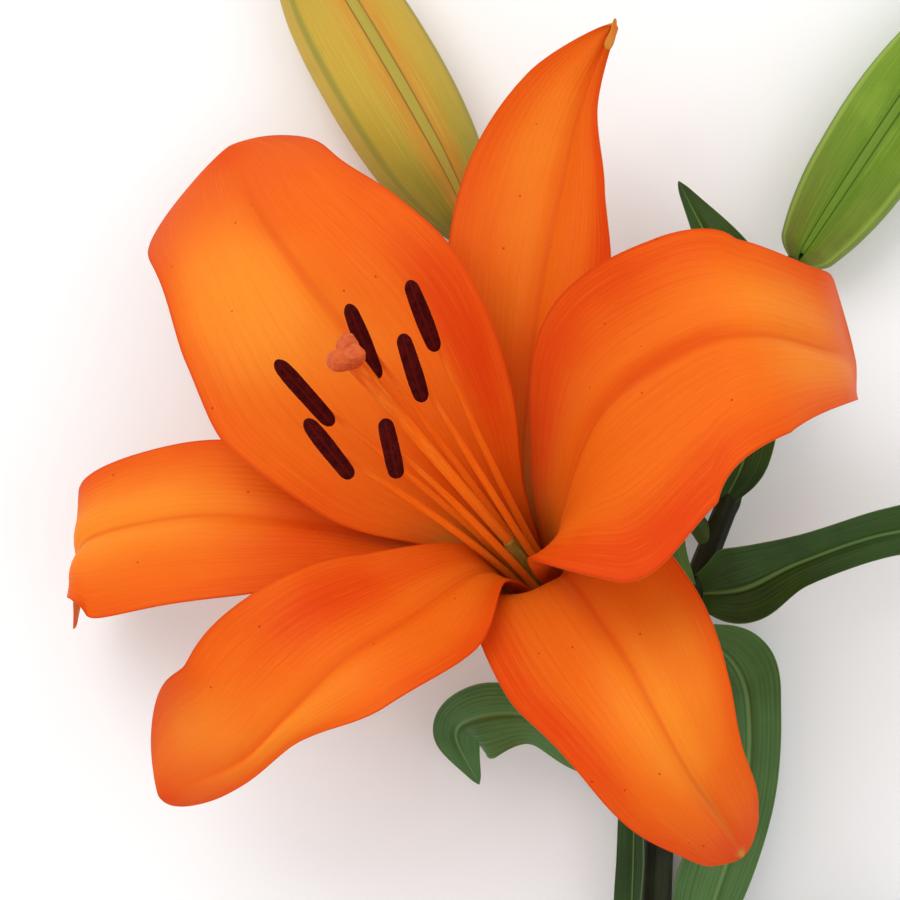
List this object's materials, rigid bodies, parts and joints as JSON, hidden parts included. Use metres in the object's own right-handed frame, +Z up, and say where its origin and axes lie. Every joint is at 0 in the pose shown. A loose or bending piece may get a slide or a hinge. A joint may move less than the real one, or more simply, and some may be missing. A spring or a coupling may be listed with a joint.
{
  "type": "cut lily stem",
  "caption": "Cut stem of orange lily lying on its side, with an open trumpet flower, stamens, closed buds and arching leaves.",
  "frame": {"origin": "middle of the whole stem's bounding box, on the surface it lies on", "axes": "+Z up from the surface; +Y along the stem from the cut end towards the flower and the bud tips; +X to the right when looking down with the flower at the top"},
  "size_m": [0.2038, 0.4118, 0.1014],
  "materials": {
    "petal": "satin",
    "filament": "satin",
    "anther": "powdery",
    "stigma": "moist satin",
    "stem": "waxy",
    "stalk": "waxy",
    "leaf": "waxy",
    "young_leaf": "waxy",
    "left_bud": "satin",
    "right_bud": "satin"
  },
  "bodies": {
    "root": {"petal_upper_left": "petal", "petal_right": "petal", "petal_lower_left": "petal", "sepal_top": "petal", "sepal_left": "petal", "sepal_lower_right": "petal", "receptacle": "stalk", "anther_1": "anther", "filament_1": "filament", "anther_2": "anther", "filament_2": "filament", "anther_3": "anther", "filament_3": "filament", "anther_4": "anther", "filament_4": "filament", "anther_5": "anther", "filament_5": "filament", "anther_6": "anther", "filament_6": "filament", "ovary": "young_leaf", "style": "filament", "stigma": "stigma", "stem": "stem", "right_bud_stalk": "stalk", "left_bud_stalk": "stalk", "flower_stalk": "stalk", "left_bud_segment_1": "left_bud", "left_bud_segment_2": "left_bud", "left_bud_segment_3": "left_bud", "left_bud_core": "left_bud", "right_bud_segment_1": "right_bud", "right_bud_segment_2": "right_bud", "right_bud_segment_3": "right_bud", "right_bud_core": "right_bud", "leaf_right": "leaf", "leaf_drooping": "leaf", "leaf_rising": "leaf", "leaf_curled": "leaf", "leaf_behind": "young_leaf", "leaf_bract": "leaf", "leaf_low_1": "leaf", "leaf_low_2": "leaf", "leaf_low_3": "leaf", "leaf_low_4": "leaf", "leaf_low_5": "leaf", "leaf_low_6": "leaf"}
  },
  "joints": []
}
